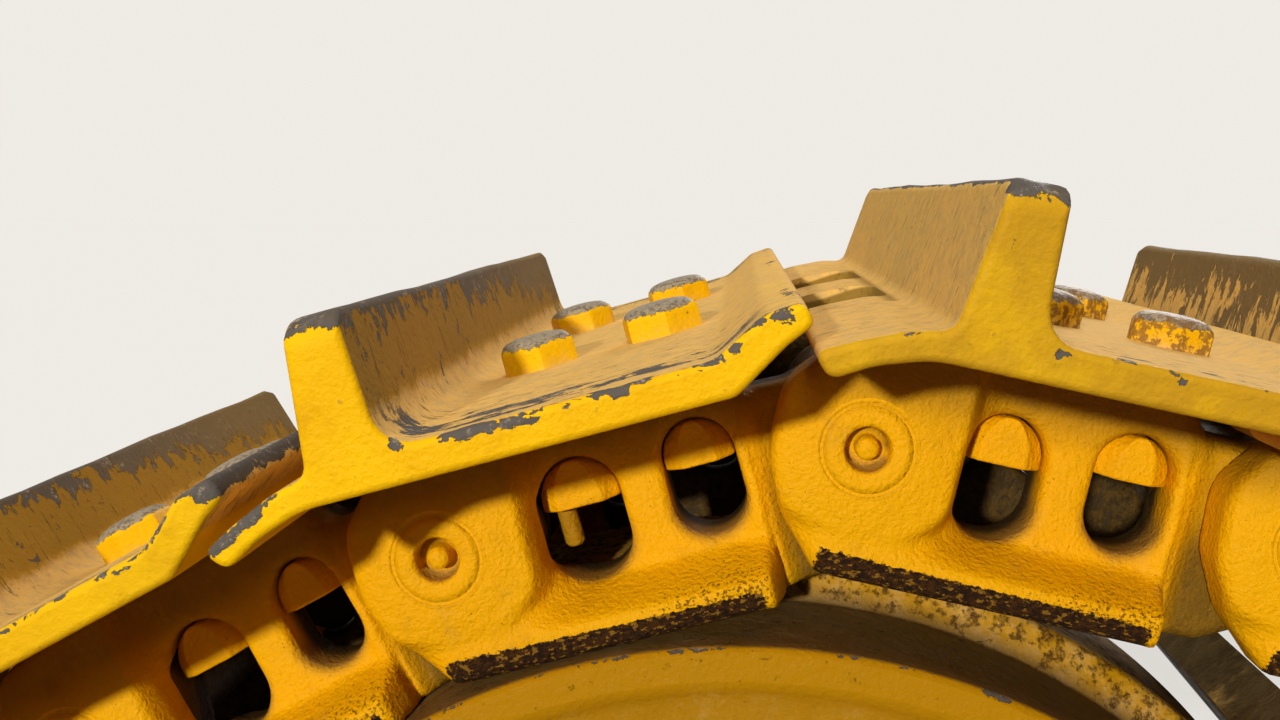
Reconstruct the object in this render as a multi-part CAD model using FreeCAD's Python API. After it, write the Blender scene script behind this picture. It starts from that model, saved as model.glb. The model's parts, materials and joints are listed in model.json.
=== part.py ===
import FreeCAD, Part
import math
import os

V = FreeCAD.Vector

# Crawler track assembly: chain with shoes, front idler, track frame, rollers and drive sprocket.
# Millimetres. +X points forward, +Y outboard and +Z up.
# The origin is the centre of the track frame's pivot bore.

# Chain
pitch = 216.0
bushing_r = 34.0
rail_depth = 66.0
shoe_seat = 60.0
front_tilt = 28.9
tread_gap = 0.3

# Tilt of each link along the top run, from the idler back, in degrees; positive rises rearward.
top_tilts = [15.45, -11.96, -8.0, -2.0, 4.0, 7.0, -6.0, -3.0, 2.0, 6.0, -5.0, -1.0, 4.0, 6.0]
carried_pins = [6, 10]
ground_links = 13
links_on_sprocket = 5

# Shoe
shoe_half = 280.0
plate_t = 15.0
grouser_h = 57.0
grouser_back = 34.0

# Links: across the track
inner_face = 62.0
window_face = 100.0
link_gap = 0.3
boss_face = 134.0
link_end_r = 44.0
neck_back = 50.0
neck_front = 76.0
foot_back = 150.0
foot_h = 16.0

# Idler
idler_x = 2050.0
idler_r = 341.0
idler_flange_h = 21.0
idler_side_y = 140.0
idler_flange_half = 57.0
idler_bore_r = 52.0
shaft_play = 0.05
idler_hub_r = 96.0
idler_hub_half = 150.0
idler_dish = 24.0

# Idler bearing blocks and yoke
block_y = 155.0
block_t = 55.0
block_half_x = 105.0
block_half_z = 88.0
block_corner = 30.0
cap_r = 80.0
cap_t = 22.0
yoke_t = 40.0
yoke_half_z = 80.0
yoke_clear = 18.0
yoke_head_t = 60.0
guard_tip_angle = -40.0
guard_lip_t = 20.0
guard_half_y = 130.0
recoil_rod_r = 48.0
recoil_show = 50.0

# Track frame
beam_half_y = 120.0
beam_over_rollers = 21.0
beam_behind_sprocket = 47.0
beam_wall = 16.0
pivot_r = 75.0
pivot_liner_t = 10.0
pivot_boss_t = 33.0
pivot_half = 148.0
pivot_over_rollers = 0.79

# Adjuster cover and equaliser seat, on the beam's top
cover_from_front = 60.0
cover_length = 340.0
cover_half_y = 100.0
cover_t = 24.0
ear_half = 100.0
ear_rise = 80.0
ear_eye = 46.0
ear_bore_r = 25.0
ear_gap = 70.0
ear_t = 26.0
ear_base_t = 20.0

# Bottom rollers
roller_count = 7
roller_r = 105.0
roller_flange_h = 19.0
roller_tread_half = 136.0
roller_half = 150.0
roller_from_front = 90.0
roller_from_back = 20.0
end_play = 0.3

# Carrier rollers
carrier_r = 84.0
carrier_flange_h = 14.0
carrier_shaft_r = 30.0
carrier_over_beam = 23.6
bracket_t = 44.0
bracket_foot = 95.0
bracket_eye_t = 24.0
bracket_base_t = 24.0

# Roller guards, hung on ribs from the beam's sides
guard_t = 14.0
guard_below = 75.0
guard_end = 110.0
guard_corner = 50.0
guard_lap = 60.0
rib_t = 16.0
boss_clear = 6.0

# Drive sprocket
tooth_count = 23
sprocket_half = 38.0
pocket_gap = 0.3
tooth_h = 16.0
tooth_mouth = 50.0
rim_depth = 66.0
drum_r = 262.0
drum_back = 300.0
drum_edge = 50.0
hub_lip = 36.0
hub_lip_t = 20.0
hub_cover_r = 212.0
hub_cover_out = 150.0
hub_cover_taper = 50.0


def polar(centre, radius, degrees):
    """A point at an angle from straight up, turning forward, in the X-Z plane."""
    turn = math.radians(degrees)
    return (centre[0] + radius * math.sin(turn), centre[1] + radius * math.cos(turn))


def meet(a, ra, b, rb, side):
    """Where two circles in the X-Z plane cross, on the given side of the line from a to b."""
    dx = b[0] - a[0]
    dz = b[1] - a[1]
    gap = math.hypot(dx, dz)
    along = (ra ** 2 - rb ** 2 + gap ** 2) / (2 * gap)
    out = math.sqrt(max(ra ** 2 - along ** 2, 0.0)) * side
    return (a[0] + (along * dx - out * dz) / gap, a[1] + (along * dz + out * dx) / gap)


def rearward(start, degrees):
    """The next pin along the top run, one pitch behind start."""
    turn = math.radians(degrees)
    return (start[0] - pitch * math.cos(turn), start[1] + pitch * math.sin(turn))


def cradle(pin, tilt_before, tilt_after, line_r):
    """Centre of a wheel under a pin whose tread touches the rails of both its links."""
    middle = (tilt_before + tilt_after) / 2
    half = math.radians((tilt_before - tilt_after) / 2)
    return polar(pin, -line_r / math.cos(half), middle)


def plate(points, y0, y1):
    """A flat plate across Y, from its outline in the X-Z plane."""
    corners = [V(x, y0, z) for x, z in points]
    face = Part.Face(Part.makePolygon(corners + corners[:1]))
    return face.extrude(V(0, y1 - y0, 0))


def box(x0, x1, y0, y1, z0, z1):
    return Part.makeBox(x1 - x0, y1 - y0, z1 - z0, V(x0, y0, z0))


def rod(radius, y0, y1, x=0.0, z=0.0):
    return Part.makeCylinder(radius, y1 - y0, V(x, y0, z), V(0, 1, 0))


def turned(profile, x, z):
    """A body of revolution about a line along Y; the profile gives radius and y."""
    corners = [V(x + r, y, z) for r, y in profile]
    face = Part.Face(Part.makePolygon(corners + corners[:1]))
    return face.revolve(V(x, 0, z), V(0, 1, 0), 360)


def both_sides(profile):
    """A profile of the inboard half, given as radius and y, completed by its mirror image."""
    return profile + [(r, -y) for r, y in profile[::-1]]


def mirrored(shape):
    return shape.mirror(V(0, 0, 0), V(0, 1, 0))


def fused(shapes):
    whole = shapes[0]
    if len(shapes) > 1:
        whole = whole.fuse(shapes[1:])
    return whole.removeSplitter()


def save(name, solids):
    solids = solids if isinstance(solids, list) else [solids]
    single = [part for shape in solids for part in shape.Solids]
    shape = single[0] if len(single) == 1 else Part.makeCompound(single)
    shape.exportStep("parts/" + name + ".step")


def front_pins(first, centre):
    """The pins that follow first down round the front of the idler, to the ground."""
    found = [rearward(first, front_tilt + 180.0)]
    while math.degrees(math.atan2(found[-1][0] - centre[0], centre[1] - found[-1][1])) > half_step:
        found.append(meet(found[-1], pitch, centre, wrap_r, 1))
    return found


# The chain lies on the idler; the bottom rollers, close under the pivot tube, set its height
line_r = idler_r + rail_depth + tread_gap
mid_tilt = (front_tilt + top_tilts[0]) / 2
half_tilt = math.radians((front_tilt - top_tilts[0]) / 2)
wrap_r = math.hypot(line_r, pitch / 2)
half_step = math.degrees(math.asin(pitch / 2 / wrap_r))
first_r = line_r / math.cos(half_tilt)
drop = -front_pins(polar((0.0, 0.0), first_r, mid_tilt), (0.0, 0.0))[-1][1]
roller_flange_r = roller_r + roller_flange_h
pivot_boss_r = pivot_r + pivot_liner_t + pivot_boss_t
roller_z = -(pivot_boss_r + pivot_over_rollers + roller_flange_r)
idler_z = roller_z - roller_r - tread_gap - rail_depth + drop
idler = (idler_x, idler_z)

# The chain's pins, once round, starting at the idler's front top and going rearward
top = [polar(idler, first_r, mid_tilt)]
for tilt in top_tilts:
    top.append(rearward(top[-1], tilt))
front = front_pins(top[0], idler)
ground_z = front[-1][1]
ground = [(front[-1][0] - pitch * (k + 1), ground_z) for k in range(ground_links)]

# The sprocket's centre follows from the last top pin and the last ground pin
tooth_step = 360.0 * 2 / tooth_count
sprocket_r = pitch / 2 / math.sin(math.radians(tooth_step / 2))
held = links_on_sprocket * tooth_step
chord = 2 * sprocket_r * math.sin(math.radians(held / 2))
entry = meet(top[-1], chord, ground[-1], pitch, -1)
sprocket = meet(top[-1], sprocket_r, entry, sprocket_r, 1)
sprocket_outer = sprocket_r + tooth_h
rim_inner_r = sprocket_r - bushing_r - rim_depth
start_angle = math.degrees(math.atan2(top[-1][0] - sprocket[0], top[-1][1] - sprocket[1]))
on_sprocket = [
    polar(sprocket, sprocket_r, start_angle - tooth_step * k) for k in range(links_on_sprocket + 1)
]
pins = top[:-1] + on_sprocket + ground[::-1] + front[::-1]

# Places that follow from the chain
boss_inner = window_face + link_gap
shaft_r = idler_bore_r - shaft_play
block_out = block_y + block_t
yoke_front = idler_x - idler_r - idler_flange_h - yoke_clear
yoke_back = yoke_front - yoke_head_t
beam_bottom = roller_z + roller_flange_r + beam_over_rollers
beam_front = yoke_back - recoil_show
beam_back = sprocket[0] + sprocket_outer + beam_behind_sprocket
roller_front = beam_front - roller_from_front
roller_back = beam_back + roller_from_back
roller_step = (roller_front - roller_back) / (roller_count - 1)
roller_places = [roller_back + roller_step * k for k in range(roller_count)]
guard_y = roller_half + end_play
carriers = [
    cradle(top[k], top_tilts[k - 1], top_tilts[k], carrier_r + rail_depth + tread_gap)
    for k in carried_pins
]
carrier_low = min(place[1] for place in carriers) - carrier_r - carrier_flange_h
beam_top = carrier_low - carrier_over_beam
ear_x = (carriers[0][0] + carriers[1][0]) / 2
ear_z = beam_top + ear_rise
print("pins", len(pins), "sprocket", sprocket, "ear", ear_x, ear_z, "ground", ground_z, "idler", idler_z, "beam", beam_top)


def on_chain(shape, index):
    """Places a shape drawn about a level link's front pin on one link of the chain."""
    here = pins[index]
    after = pins[(index + 1) % len(pins)]
    turn = math.degrees(math.atan2(after[1] - here[1], here[0] - after[0]))
    placed = shape.copy()
    placed.Placement = FreeCAD.Placement(
        V(here[0], 0, here[1]), FreeCAD.Rotation(V(0, 1, 0), turn)
    )
    return placed


def chain(shape):
    return [on_chain(shape, index) for index in range(len(pins))]


def link_outline(points):
    """Turns distances behind the front pin into the level link's X, which points forward."""
    return [(-u, v) for u, v in points]


def shoe():
    """A grouser shoe: curved lip in front, one tall grouser, and a raised rear edge."""
    under = shoe_seat
    over = under + plate_t
    tip = over + grouser_h
    behind_and_out = [
        (-42.0, under - 15.0),
        (-4.0, under),
        (168.0, under),
        (190.0, under + 14.0),
        (202.0, under + 14.0),
        (202.0, over + 11.0),
        (186.0, over + 11.0),
        (164.0, over + 1.0),
        (47.0, over),
        (grouser_back, over + 12.0),
        (grouser_back - 2.0, tip),
        (grouser_back - 24.0, tip),
        (-1.0, over - 2.0),
        (-44.0, over - 18.0),
    ]
    return plate(link_outline(behind_and_out), -shoe_half, shoe_half)


def link():
    """The outboard link: an offset forging with its pin end outside and bushing end inside."""
    back = pitch
    end = link_end_r
    bushing_end = plate(link_outline([
        (neck_back, -rail_depth),
        (back - 44.0, -rail_depth),
        (back + 10.0, -end),
        (back + end, 0.0),
        (back + 4.0, end),
        (back - 30.0, 34.0),
        (back - 52.0, 36.0),
        (back - 66.0, shoe_seat),
        (neck_back, shoe_seat),
    ]), inner_face, window_face)
    pin_end = plate(link_outline([
        (-20.0, -rail_depth),
        (foot_back, -rail_depth),
        (foot_back, foot_h - rail_depth),
        (neck_front, foot_h - rail_depth),
        (neck_front, shoe_seat),
        (-12.0, end),
        (-end, 10.0),
        (-end, -10.0),
    ]), window_face, boss_face)
    next_end = box(-neck_back, end, window_face - 1, boss_inner, -rail_depth - 1, shoe_seat + 1)
    return fused([bushing_end, pin_end]).cut([next_end])


def bushing():
    """A track bushing between the links; eight flats stand for its round wall."""
    corners = [polar((0.0, 0.0), bushing_r, 45.0 * k + 22.5) for k in range(8)]
    return plate(corners, -inner_face, inner_face)


def idler_wheel():
    """The idler: two side treads for the rails, a centre flange between them, dished sides."""
    profile = [
        (idler_bore_r, -idler_hub_half),
        (idler_hub_r, -idler_hub_half),
        (idler_hub_r, idler_dish - idler_side_y),
        (idler_r, -idler_side_y),
        (idler_r, -idler_flange_half),
        (idler_r + idler_flange_h, -idler_flange_half + 8.0),
    ]
    return turned(both_sides(profile), idler_x, idler_z)


def bearing_block():
    """The outboard bearing block: a squared plate with cut corners, held on the shaft's end."""
    outline = []
    for x_side, z_side in ((-1, -1), (1, -1), (1, 1), (-1, 1)):
        near_x = (x_side * block_half_x, z_side * (block_half_z - block_corner))
        near_z = (x_side * (block_half_x - block_corner), z_side * block_half_z)
        outline += [near_x, near_z] if x_side == z_side else [near_z, near_x]
    block = plate([(idler_x + x, idler_z + z) for x, z in outline], block_y, block_out)
    return block.cut([rod(shaft_r, block_y - 1, block_out + 1, idler_x, idler_z)])


def yoke_head():
    """The cross piece behind the idler, with the guard that rises from it behind the wheel."""
    low = idler_z - yoke_half_z
    high = idler_z + yoke_half_z
    head = box(yoke_back, yoke_front, -block_y, block_y, low, high)
    clear_r = idler_r + idler_flange_h + yoke_clear
    lip = polar(idler, clear_r, guard_tip_angle)
    guard = plate([
        (yoke_front, high - 1),
        polar(idler, clear_r, (guard_tip_angle - 78.0) / 2),
        lip,
        (lip[0] - guard_lip_t, lip[1] + guard_lip_t),
        (yoke_back + guard_lip_t, high + yoke_head_t),
        (yoke_back, high - 1),
    ], -guard_half_y, guard_half_y)
    return fused([head, guard])


def yoke_arm():
    """The outboard arm, from the head forward to the bearing block."""
    end_z = block_half_z - block_corner
    upper = [(yoke_back, yoke_half_z), (yoke_front, yoke_half_z), (idler_x - block_half_x, end_z)]
    outline = [(x, idler_z + z) for x, z in upper] + [(x, idler_z - z) for x, z in upper[::-1]]
    return plate(outline, block_y, block_y + yoke_t)


def recoil_rod():
    back = beam_front - beam_wall
    return Part.makeCylinder(recoil_rod_r, yoke_back - back, V(back, 0, idler_z), V(1, 0, 0))


def adjuster_cover():
    """The raised cover over the track adjuster, on top of the beam."""
    x1 = beam_front - cover_from_front
    x0 = x1 - cover_length
    lip = box(x0, x1, -cover_half_y, cover_half_y, beam_top, beam_top + cover_t / 2)
    side = cover_half_y - cover_t
    crown = box(x0 + cover_t, x1 - cover_t, -side, side, beam_top, beam_top + cover_t)
    return fused([lip, crown])


def equaliser_seat():
    """Two ears on the beam's top that take the pin of the tractor's equaliser bar."""
    half = [
        (ear_half, beam_top),
        (ear_half, beam_top + ear_base_t),
        (ear_eye, ear_z),
        (0.6 * ear_eye, ear_z + 0.8 * ear_eye),
    ]
    outline = [(ear_x + x, z) for x, z in half] + [(ear_x - x, z) for x, z in half[::-1]]
    out = ear_gap / 2 + ear_t
    ears = [plate(outline, ear_gap / 2, out), plate(outline, -out, -ear_gap / 2)]
    base = box(ear_x - ear_half, ear_x + ear_half, -out, out, beam_top, beam_top + ear_base_t)
    return fused([base] + ears).cut([rod(ear_bore_r, -out - 1, out + 1, ear_x, ear_z)])


def pivot_liner():
    """The liner in the pivot tube; its bore takes the tractor's pivot shaft."""
    tube = rod(pivot_r + pivot_liner_t, -pivot_half, pivot_half)
    return tube.cut([rod(pivot_r, -pivot_half - 1, pivot_half + 1)])


def track_frame():
    """The box beam, its front plate bored for the recoil rod, and the pivot tube across it."""
    wall = beam_wall
    outer = box(beam_back, beam_front, -beam_half_y, beam_half_y, beam_bottom, beam_top)
    core = box(
        beam_back + wall, beam_front - wall,
        -beam_half_y + wall, beam_half_y - wall,
        beam_bottom + wall, beam_top - wall,
    )
    tube_r = pivot_r + pivot_liner_t
    boss = rod(pivot_boss_r, -pivot_half, pivot_half)
    bore = rod(tube_r, -pivot_half - 1, pivot_half + 1)
    front = V(beam_front - 1.5 * wall, 0, idler_z)
    rod_hole = Part.makeCylinder(recoil_rod_r + shaft_play, 2 * wall, front, V(1, 0, 0))
    return fused([outer.cut([core]), boss]).cut([bore, rod_hole])


def bottom_roller(x):
    """A roller with a tread for both rails and an outer flange at each end."""
    profile = [
        (0.0, -roller_half),
        (roller_flange_r, -roller_half),
        (roller_r, -roller_tread_half),
    ]
    return turned(both_sides(profile), x, roller_z)


def roller_guard():
    """The outboard guard, a long plate from the beam's side to beside the rails."""
    low = roller_z - guard_below
    high = beam_bottom + guard_lap
    x0 = roller_back - guard_end
    x1 = roller_front + guard_end
    outline = [
        (x0, low + guard_corner),
        (x0 + guard_corner, low),
        (x1 - guard_corner, low),
        (x1, low + guard_corner),
        (x1 - guard_corner, high),
        (x0 + guard_corner, high),
    ]
    opening = rod(pivot_boss_r + boss_clear, guard_y - 1, guard_y + guard_t + 1)
    return plate(outline, guard_y, guard_y + guard_t).cut([opening])


def guard_rib(x):
    return box(x - rib_t / 2, x + rib_t / 2, beam_half_y, guard_y, beam_bottom, beam_bottom + guard_lap)


def carrier_roller(place):
    """A carrier roller: smooth treads with a flange between the rails."""
    profile = [
        (carrier_shaft_r, -roller_half),
        (carrier_r, -roller_half),
        (carrier_r, -inner_face + 4.0),
        (carrier_r + carrier_flange_h, -inner_face + 10.0),
    ]
    return turned(both_sides(profile), place[0], place[1])


def carrier_shaft(place):
    return rod(carrier_shaft_r, -roller_half - bracket_t, roller_half, place[0], place[1])


def carrier_bracket(place):
    """The stand on the inboard side of the beam that holds a carrier roller's shaft."""
    eye = carrier_shaft_r + bracket_eye_t
    half = [(bracket_foot, beam_top), (eye, place[1]), (0.7 * eye, place[1] + 0.7 * eye)]
    outline = [(place[0] + x, z) for x, z in half] + [(place[0] - x, z) for x, z in half[::-1]]
    y1 = -roller_half - end_play
    y0 = y1 - bracket_t
    stand = plate(outline, y0, y1)
    x0 = place[0] - bracket_foot
    base = box(x0, x0 + 2 * bracket_foot, y0, -beam_half_y / 2, beam_top, beam_top + bracket_base_t)
    return fused([stand, base]).cut([rod(carrier_shaft_r, y0 - 1, y1 + 1, place[0], place[1])])


def sprocket_rim():
    """The toothed ring: a pocket for each half step, so that every other one holds a bushing."""
    low = -sprocket_half - 1
    high = sprocket_half + 1
    seat = (bushing_r + pocket_gap) / math.cos(math.radians(22.5))
    beyond = sprocket_outer + 6
    rim = rod(sprocket_outer, -sprocket_half, sprocket_half, *sprocket)
    cuts = [rod(rim_inner_r, low, high, *sprocket)]
    for tooth in range(tooth_count):
        angle = start_angle - tooth_step / 2 * tooth
        middle = polar(sprocket, sprocket_r, angle)
        pocket = [polar(middle, seat, angle + 180.0 + turn) for turn in (-67.5, -22.5, 22.5, 67.5)]
        for side in (-1, 1):
            pocket.append(polar(polar(sprocket, beyond, angle), side * tooth_mouth, angle + 90.0))
        cuts.append(plate(pocket, low, high))
    return rim.cut(cuts)


def final_drive():
    """The drum inboard of the sprocket, with the hub that its ring is bolted to."""
    lip_r = rim_inner_r + hub_lip
    profile = [
        (0.0, -drum_back),
        (drum_r - drum_edge, -drum_back),
        (drum_r, -drum_back + drum_edge),
        (drum_r, -sprocket_half - hub_lip_t),
        (lip_r, -sprocket_half - hub_lip_t),
        (lip_r, -sprocket_half),
        (rim_inner_r, -sprocket_half),
        (rim_inner_r, sprocket_half),
        (0.0, sprocket_half),
    ]
    return turned(profile, *sprocket)


def hub_cover():
    profile = [
        (0.0, sprocket_half),
        (hub_cover_r, sprocket_half),
        (hub_cover_r - hub_cover_taper, hub_cover_out),
        (0.0, hub_cover_out),
    ]
    return turned(profile, *sprocket)


def pair(shape):
    """The outboard piece and its mirror image inboard."""
    return [shape, mirrored(shape)]


def main():
    os.makedirs("parts", exist_ok=True)
    outboard = link()
    save("track_shoes", chain(shoe()))
    save("outboard_links", chain(outboard))
    save("inboard_links", chain(mirrored(outboard)))
    save("track_bushings", chain(bushing()))

    outboard_block, inboard_block = pair(bearing_block())
    outboard_arm, inboard_arm = pair(yoke_arm())
    outboard_guard, inboard_guard = pair(roller_guard())
    rib_places = [place + roller_step / 2 for place in roller_places[:-1]]

    save("idler_wheel", idler_wheel())
    save("idler_shaft", rod(shaft_r, -block_out, block_out, *idler))
    save("outboard_idler_bearing", outboard_block)
    save("inboard_idler_bearing", inboard_block)
    save("bearing_caps", pair(rod(cap_r, block_out, block_out + cap_t, *idler)))
    save("yoke_head", yoke_head())
    save("outboard_yoke_arm", outboard_arm)
    save("inboard_yoke_arm", inboard_arm)
    save("recoil_rod", recoil_rod())
    save("adjuster_cover", adjuster_cover())
    save("equaliser_seat", equaliser_seat())
    save("pivot_liner", pivot_liner())
    save("track_frame", track_frame())
    save("bottom_rollers", [bottom_roller(x) for x in roller_places])
    save("outboard_roller_guard", outboard_guard)
    save("inboard_roller_guard", inboard_guard)
    save("guard_ribs", [rib for x in rib_places for rib in pair(guard_rib(x))])
    save("carrier_rollers", [carrier_roller(place) for place in carriers])
    save("carrier_shafts", [carrier_shaft(place) for place in carriers])
    save("carrier_brackets", [carrier_bracket(place) for place in carriers])
    save("sprocket_rim", sprocket_rim())
    save("final_drive", final_drive())
    save("hub_cover", hub_cover())


main()
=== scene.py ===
import bpy
import bmesh
import json
import math
import random

import numpy as np
from mathutils import Matrix, Vector


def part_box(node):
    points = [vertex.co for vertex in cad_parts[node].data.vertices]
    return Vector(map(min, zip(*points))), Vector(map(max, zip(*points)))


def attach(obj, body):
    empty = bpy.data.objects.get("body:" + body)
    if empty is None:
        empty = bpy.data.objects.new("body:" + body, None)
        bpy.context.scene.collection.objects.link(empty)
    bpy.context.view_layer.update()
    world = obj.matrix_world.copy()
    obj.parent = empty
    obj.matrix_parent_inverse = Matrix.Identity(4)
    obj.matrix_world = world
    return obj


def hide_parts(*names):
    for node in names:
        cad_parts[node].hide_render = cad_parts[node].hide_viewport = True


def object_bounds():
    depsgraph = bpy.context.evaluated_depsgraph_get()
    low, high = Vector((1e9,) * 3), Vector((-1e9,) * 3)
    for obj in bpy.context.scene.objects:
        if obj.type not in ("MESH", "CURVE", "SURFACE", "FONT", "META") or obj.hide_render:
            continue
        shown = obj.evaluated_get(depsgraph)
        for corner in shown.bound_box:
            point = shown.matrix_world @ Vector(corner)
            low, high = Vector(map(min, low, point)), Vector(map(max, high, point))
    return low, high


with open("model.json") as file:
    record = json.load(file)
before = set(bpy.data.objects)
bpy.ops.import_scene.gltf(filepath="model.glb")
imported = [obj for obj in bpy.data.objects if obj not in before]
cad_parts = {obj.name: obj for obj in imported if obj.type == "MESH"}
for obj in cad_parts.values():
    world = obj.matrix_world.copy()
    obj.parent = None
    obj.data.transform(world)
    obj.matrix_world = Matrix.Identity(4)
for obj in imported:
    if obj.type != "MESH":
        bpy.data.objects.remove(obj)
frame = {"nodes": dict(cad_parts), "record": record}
cad_box = [list(corner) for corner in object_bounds()]
nodes = frame["nodes"]
rng = random.Random(11)
MM = 0.001

# The chain's sizes, as in the part's source, in millimetres and degrees
pitch = 216
rail_depth = 66
tread_gap = 0.3
front_tilt = 28.9
top_tilts = [15.45, -11.96, -8, -2, 4, 7, -6, -3, 2, 6, -5, -1, 4, 6]
ground_links = 13
links_on_sprocket = 5
tooth_count = 23
idler = (2050, 0)
idler_r = 341
shoe_half = 280


# The chain's pins, in the X-Z plane. A link's own u runs rearward from its front pin, v outward.
def polar(centre, radius, degrees):
    """The point at a radius from a centre, at an angle from straight up."""
    turn = math.radians(degrees)
    return (centre[0] + radius * math.sin(turn), centre[1] + radius * math.cos(turn))


def meet(a, ra, b, rb, side):
    """Where two circles meet, on one side of the line between their centres."""
    dx, dz = b[0] - a[0], b[1] - a[1]
    gap = math.hypot(dx, dz)
    along = (ra ** 2 - rb ** 2 + gap ** 2) / (2 * gap)
    out = math.sqrt(max(ra ** 2 - along ** 2, 0)) * side
    return (a[0] + (along * dx - out * dz) / gap, a[1] + (along * dz + out * dx) / gap)


def rearward(start, degrees):
    """The next pin along a link that is tilted by so many degrees."""
    turn = math.radians(degrees)
    return (start[0] - pitch * math.cos(turn), start[1] + pitch * math.sin(turn))


line_r = idler_r + rail_depth + tread_gap
half_tilt = math.radians((front_tilt - top_tilts[0]) / 2)
top = [polar(idler, line_r / math.cos(half_tilt), (front_tilt + top_tilts[0]) / 2)]
for tilt in top_tilts:
    top.append(rearward(top[-1], tilt))
wrap_r = math.hypot(line_r, pitch / 2)
half_step = math.degrees(math.asin(pitch / 2 / wrap_r))
front = [rearward(top[0], front_tilt + 180)]
while math.degrees(math.atan2(front[-1][0] - idler[0], idler[1] - front[-1][1])) > half_step:
    front.append(meet(front[-1], pitch, idler, wrap_r, 1))
ground = [(front[-1][0] - pitch * (k + 1), front[-1][1]) for k in range(ground_links)]
tooth_step = 360 * 2 / tooth_count
sprocket_r = pitch / 2 / math.sin(math.radians(tooth_step / 2))
chord = 2 * sprocket_r * math.sin(math.radians(links_on_sprocket * tooth_step / 2))
entry = meet(top[-1], chord, ground[-1], pitch, -1)
sprocket = meet(top[-1], sprocket_r, entry, sprocket_r, 1)
start_angle = math.degrees(math.atan2(top[-1][0] - sprocket[0], top[-1][1] - sprocket[1]))
on_sprocket = [
    polar(sprocket, sprocket_r, start_angle - tooth_step * k) for k in range(links_on_sprocket + 1)
]
pins = top[:-1] + on_sprocket + ground[::-1] + front[::-1]
every_link = range(len(pins))
near = [len(pins) - 2, len(pins) - 1, 0, 1, 2]
far = [k for k in every_link if k not in near]


# Meshes as arrays
class Form:
    """Vertices in millimetres, faces, each vertex's place on its own piece, and painted marks."""

    def __init__(self, verts, faces, place=None, marks=None):
        self.verts = np.asarray(verts, float)
        self.faces = faces
        self.place = self.verts.copy() if place is None else place
        self.marks = marks or {}

    def moved(self, matrix):
        turned = self.verts @ np.array(matrix.to_3x3()).T + np.array(matrix.translation)
        return Form(turned, self.faces, self.place, self.marks)

    def flipped(self):
        """The mirror image across the track."""
        faces = [face[::-1] for face in self.faces]
        return Form(self.verts * (1, -1, 1), faces, self.place, self.marks)

    def varied(self, **values):
        """A copy with marks that are the same all over it."""
        own = {name: np.full(len(self.verts), value) for name, value in values.items()}
        return Form(self.verts, self.faces, self.place, {**self.marks, **own})

    def marked(self, rule):
        """Paints the marks that rule(x, y, v) gives, each from 0 to 1."""
        for name, values in rule(*self.place.T).items():
            self.marks[name] = np.clip(values, 0, 1)
        return self


def link_matrix(index):
    """From (-u, y, v) on one link to the row frame, in millimetres."""
    here, after = pins[index], pins[(index + 1) % len(pins)]
    turn = math.atan2(after[1] - here[1], here[0] - after[0])
    return Matrix.Translation((here[0], 0, here[1])) @ Matrix.Rotation(turn, 4, "Y")


def joined(forms):
    """All the forms as one. A mark that a form doesn't have is 0 on it."""
    faces, start = [], 0
    for form in forms:
        faces += [tuple(i + start for i in face) for face in form.faces]
        start += len(form.verts)
    verts, place = [np.concatenate(rows) for rows in zip(*[(f.verts, f.place) for f in forms])]
    marks = {
        name: np.concatenate([f.marks.get(name, np.zeros(len(f.verts))) for f in forms])
        for name in sorted({name for form in forms for name in form.marks})
    }
    return Form(verts, faces, place, marks)


def tube(rings, n, closed=True):
    """Faces that join rings of n points each, and close the two ends."""
    last = (rings - 1) * n
    faces = [
        (j + i, j + (i + 1) % n, j + n + (i + 1) % n, j + n + i)
        for j in range(0, last, n) for i in range(n)
    ]
    return faces + [tuple(range(n))[::-1], tuple(range(last, last + n))] if closed else faces


def to_mesh(name, form):
    mesh = bpy.data.meshes.new(name)
    mesh.from_pydata((form.verts * MM).tolist(), [], form.faces)
    place = mesh.attributes.new("place", "FLOAT_VECTOR", "POINT")
    place.data.foreach_set("vector", (form.place * MM).astype(np.float32).ravel())
    for mark, values in form.marks.items():
        layer = mesh.attributes.new(mark, "FLOAT", "POINT")
        layer.data.foreach_set("value", values.astype(np.float32))
    mesh.update()
    return mesh


def linked(name, data):
    obj = bpy.data.objects.new(name, data)
    bpy.context.scene.collection.objects.link(obj)
    return obj


def piece(name, forms, material, body="root", sharp=None):
    """Makes one Blender object of all the forms and puts it on its body."""
    obj = linked(name, to_mesh(name, joined(forms)))
    obj.data.materials.append(material)
    obj.data.polygons.foreach_set("use_smooth", [True] * len(obj.data.polygons))
    if sharp:
        # flat end faces stay flat-shaded, and the rest breaks at edges sharper than this
        obj.data.set_sharp_from_angle(angle=math.radians(sharp))
        curved = [abs(face.normal.y) < 0.9999 for face in obj.data.polygons]
        obj.data.polygons.foreach_set("use_smooth", curved)
        obj.modifiers.new("even", "WEIGHTED_NORMAL").keep_sharp = True
    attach(obj, body)
    return obj


def modified(form, kind, **settings):
    """The form after one Blender modifier."""
    obj = linked("work", to_mesh("work", form))
    modifier = obj.modifiers.new(kind, kind)
    for key, value in settings.items():
        setattr(modifier, key, value)
    graph = bpy.context.evaluated_depsgraph_get()
    mesh = bpy.data.meshes.new_from_object(obj.evaluated_get(graph))
    verts = np.empty(len(mesh.vertices) * 3)
    mesh.vertices.foreach_get("co", verts)
    bpy.data.objects.remove(obj)
    return Form(verts.reshape(-1, 3) / MM, [tuple(face.vertices) for face in mesh.polygons])


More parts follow.
